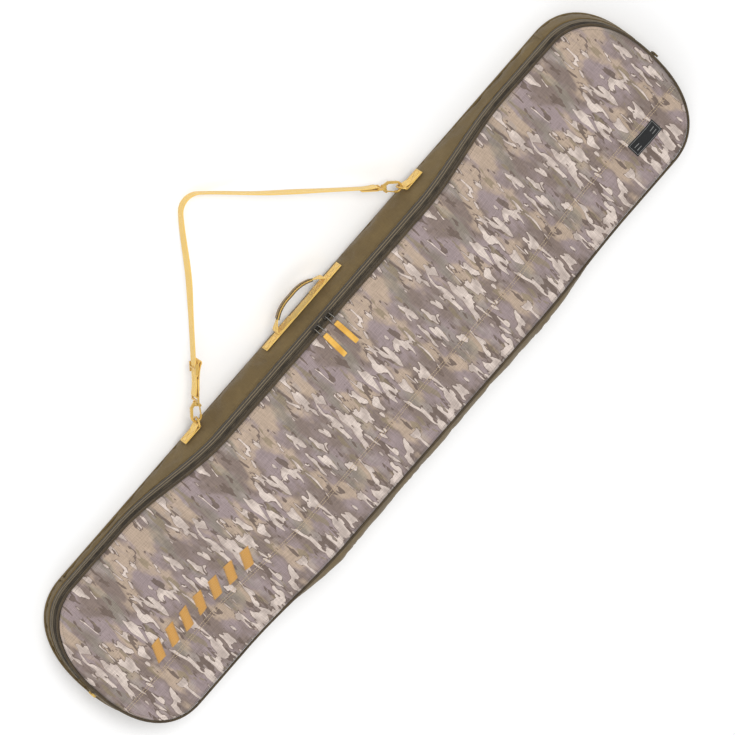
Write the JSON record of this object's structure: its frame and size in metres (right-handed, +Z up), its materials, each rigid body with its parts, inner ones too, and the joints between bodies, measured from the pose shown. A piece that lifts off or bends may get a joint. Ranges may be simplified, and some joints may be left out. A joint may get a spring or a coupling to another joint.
{
  "type": "snowboard bag",
  "caption": "Long padded snowboard bag with rounded ends, zipped opening flap, side carry handle and clip-on shoulder strap, lying on its back panel",
  "frame": {"origin": "centre of the back panel, on the surface the bag lies on", "axes": "+X towards the nose end, +Y towards the carry handle and zip, +Z up through the front panel"},
  "size_m": [1.6688, 0.7339, 0.1218],
  "materials": {
    "camo_fabric": "printed woven polyester with a muted blotch print",
    "olive_fabric": "plain olive woven polyester",
    "band_fabric": "brown woven tape",
    "piping_fabric": "dark brown corded piping",
    "zip_tape": "knitted zip tape",
    "zip_coil": "nylon coil",
    "zip_metal": "dark painted zinc",
    "wire": "bright steel wire",
    "pull_plastic": "yellow moulded soft plastic",
    "webbing": "yellow woven webbing",
    "grip_fabric": "olive padded grip cover",
    "hardware": "golden yellow painted zinc",
    "foam": "closed-cell padding, off-white",
    "lining": "thin dark woven lining",
    "label": "black woven label",
    "thread": "orange embroidery thread"
  },
  "bodies": {
    "bag": {"back_panel": "olive_fabric", "back_padding": "foam", "back_lining": "lining", "back_piping": "olive_fabric", "gusset_handle_side": "olive_fabric", "gusset_hinge_side": "olive_fabric", "gusset_tail_end": "olive_fabric", "gusset_nose_end": "olive_fabric", "gusset_padding": "foam", "gusset_lining": "lining", "front_panel": "camo_fabric", "front_padding": "foam", "front_lining": "lining", "front_piping": "piping_fabric", "zip_tape_fixed": "zip_tape", "zip_coil_fixed": "zip_coil", "zip_tab_tail": "webbing", "zip_tab_nose": "olive_fabric", "handle_base_strip": "webbing", "ring_tab_tail": "webbing", "ring_tab_nose": "webbing", "woven_label": "label", "emblem": "thread"},
    "flap": {"flap_panel": "camo_fabric", "flap_padding": "foam", "flap_lining": "lining", "flap_piping": "piping_fabric", "flap_band": "band_fabric", "zip_coil_flap": "zip_coil"},
    "slider_tail": {"zip_slider_tail": "zip_metal"},
    "slider_nose": {"zip_slider_nose": "zip_metal"},
    "pull_tail": {"pull_wire_tail": "wire", "pull_tab_tail": "pull_plastic"},
    "pull_nose": {"pull_wire_nose": "wire", "pull_tab_nose": "pull_plastic"},
    "handle": {"handle_web": "webbing", "handle_grip": "grip_fabric"},
    "ring_tail": {"ring_tail": "hardware"},
    "ring_nose": {"ring_nose": "hardware"},
    "strap": {"strap_webbing": "webbing", "swivel_eye_tail": "hardware", "swivel_eye_nose": "hardware"},
    "hook_tail": {"snap_hook_tail": "hardware", "gate_pin_tail": "hardware"},
    "hook_nose": {"snap_hook_nose": "hardware", "gate_pin_nose": "hardware"},
    "gate_tail": {"hook_gate_tail": "hardware"},
    "gate_nose": {"hook_gate_nose": "hardware"},
    "adjuster": {"strap_adjuster": "hardware"}
  },
  "joints": [
    {"name": "flap_open", "type": "hinge", "parent": "bag", "child": "flap", "pos_m": [0, 0, 0.1163], "axis": [1, 0, 0], "range_deg": [0, 165]},
    {"name": "slider_tail_run", "type": "slide", "parent": "flap", "child": "slider_tail", "axis": [-1, 0, 0], "range_m": [0, 0.26]},
    {"name": "slider_nose_run", "type": "slide", "parent": "flap", "child": "slider_nose", "axis": [1, 0, 0], "range_m": [0, 0.26]},
    {"name": "pull_tail_swing", "type": "hinge", "parent": "slider_tail", "child": "pull_tail", "pos_m": [-0.016, 0.18225, 0.10536], "axis": [-1, 0, 0], "range_deg": [0, 150]},
    {"name": "pull_nose_swing", "type": "hinge", "parent": "slider_nose", "child": "pull_nose", "pos_m": [0.016, 0.18225, 0.10536], "axis": [-1, 0, 0], "range_deg": [0, 150]},
    {"name": "handle_flop", "type": "hinge", "parent": "bag", "child": "handle", "pos_m": [0, 0.2038, 0.038], "axis": [1, 0, 0], "range_deg": [-35, 35]},
    {"name": "ring_tail_swing", "type": "hinge", "parent": "bag", "child": "ring_tail", "pos_m": [-0.306, 0.2032, 0.038], "axis": [0, 0, 1], "range_deg": [-6, 6]},
    {"name": "ring_nose_swing", "type": "hinge", "parent": "bag", "child": "ring_nose", "pos_m": [0.306, 0.2032, 0.038], "axis": [0, 0, 1], "range_deg": [-6, 6]},
    {"name": "strap_lift", "type": "hinge", "parent": "bag", "child": "strap", "pos_m": [0, 0.21435, 0.038], "axis": [1, 0, 0], "range_deg": [0, 40]},
    {"name": "hook_tail_swivel", "type": "hinge", "parent": "strap", "child": "hook_tail", "pos_m": [-0.29496, 0.21546, 0.038], "axis": [0.6691, 0.7431, 0], "range_deg": [-15, 15]},
    {"name": "hook_nose_swivel", "type": "hinge", "parent": "strap", "child": "hook_nose", "pos_m": [0.29496, 0.21546, 0.038], "axis": [-0.6691, 0.7431, 0], "range_deg": [-15, 15]},
    {"name": "gate_tail_open", "type": "hinge", "parent": "hook_tail", "child": "gate_tail", "pos_m": [-0.27466, 0.22679, 0.038], "axis": [0, 0, 1], "range_deg": [0, 25], "stiffness_Nm_per_rad": 0.02},
    {"name": "gate_nose_open", "type": "hinge", "parent": "hook_nose", "child": "gate_nose", "pos_m": [0.27466, 0.22679, 0.038], "axis": [0, 0, -1], "range_deg": [0, 25], "stiffness_Nm_per_rad": 0.02},
    {"name": "adjuster_slide", "type": "slide", "parent": "strap", "child": "adjuster", "axis": [0.6691, 0.7431, 0], "range_m": [0, 0.15]}
  ]
}
